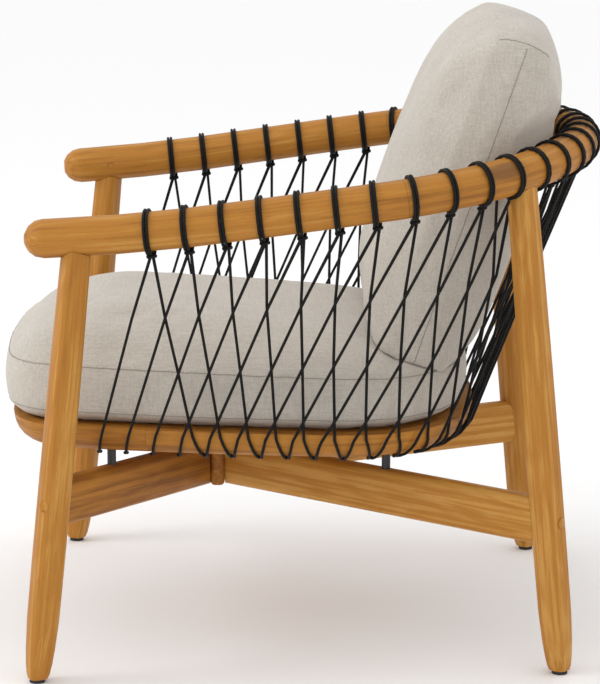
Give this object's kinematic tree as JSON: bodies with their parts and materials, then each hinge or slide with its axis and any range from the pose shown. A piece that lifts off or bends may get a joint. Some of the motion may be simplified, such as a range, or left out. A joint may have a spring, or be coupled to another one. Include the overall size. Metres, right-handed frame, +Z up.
{
  "type": "lounge armchair",
  "caption": "Low lounge armchair: bent round wooden rail on splayed legs, crossed stretchers, corded sides and back, and loose boxed seat and back cushions.",
  "frame": {"origin": "floor level, midway across the chair and midway along its overall depth", "axes": "+Z up, -Y the way the sitter faces, +X to the sitter's left"},
  "size_m": [0.7811, 0.8358, 0.8533],
  "materials": {
    "teak": "oiled teak",
    "cushion_fabric": "heathered woven linen look",
    "black_cord": "matte braided cord",
    "black_steel": "satin powder coat",
    "glide_rubber": "matte"
  },
  "bodies": {
    "frame": {"rail_arm_left": "teak", "rail_arm_right": "teak", "rail_curve_left": "teak", "rail_curve_right": "teak", "rail_back": "teak", "rail_dowel_arm_left": "teak", "rail_dowel_arm_right": "teak", "rail_dowel_back_left": "teak", "rail_dowel_back_right": "teak", "leg_front_left": "teak", "leg_front_right": "teak", "leg_rear_left": "teak", "leg_rear_right": "teak", "rail_peg_front_left": "teak", "rail_peg_front_right": "teak", "rail_peg_rear_left": "teak", "rail_peg_rear_right": "teak", "stretcher_front_left": "teak", "stretcher_front_right": "teak", "stretcher_rear_left": "teak", "stretcher_rear_right": "teak", "stretcher_hub": "teak", "bolt_plug_front_left": "teak", "bolt_plug_front_right": "teak", "bolt_plug_rear_left": "teak", "bolt_plug_rear_right": "teak", "seat_ring_front": "teak", "seat_ring_left": "teak", "seat_ring_rear": "teak", "seat_ring_right": "teak", "ring_tenon_front_left": "teak", "ring_tenon_front_right": "teak", "ring_tenon_rear_left": "teak", "ring_tenon_rear_right": "teak", "seat_slat_1": "teak", "seat_slat_2": "teak", "seat_slat_3": "teak", "seat_slat_4": "teak", "seat_slat_5": "teak", "foot_glide_front_left": "glide_rubber", "foot_glide_front_right": "glide_rubber", "foot_glide_rear_left": "glide_rubber", "foot_glide_rear_right": "glide_rubber", "seat_post_front_left": "black_steel", "seat_post_front_right": "black_steel", "seat_post_rear_left": "black_steel", "seat_post_rear_right": "black_steel", "stretcher_bolt_front_left": "black_steel", "stretcher_bolt_front_right": "black_steel", "stretcher_bolt_rear_left": "black_steel", "stretcher_bolt_rear_right": "black_steel", "weave_cord_a": "black_cord", "weave_cord_b": "black_cord", "weave_cord_c": "black_cord", "weave_cord_d": "black_cord"},
    "seat_cushion": {"seat_cushion": "cushion_fabric"},
    "back_cushion": {"back_cushion": "cushion_fabric"}
  },
  "joints": [
    {"name": "seat_cushion_lift", "type": "slide", "parent": "frame", "child": "seat_cushion", "axis": [0, 0, 1], "range_m": [0, 0.4]},
    {"name": "back_cushion_lift", "type": "slide", "parent": "seat_cushion", "child": "back_cushion", "axis": [0, 0, 1], "range_m": [0, 0.4]}
  ]
}
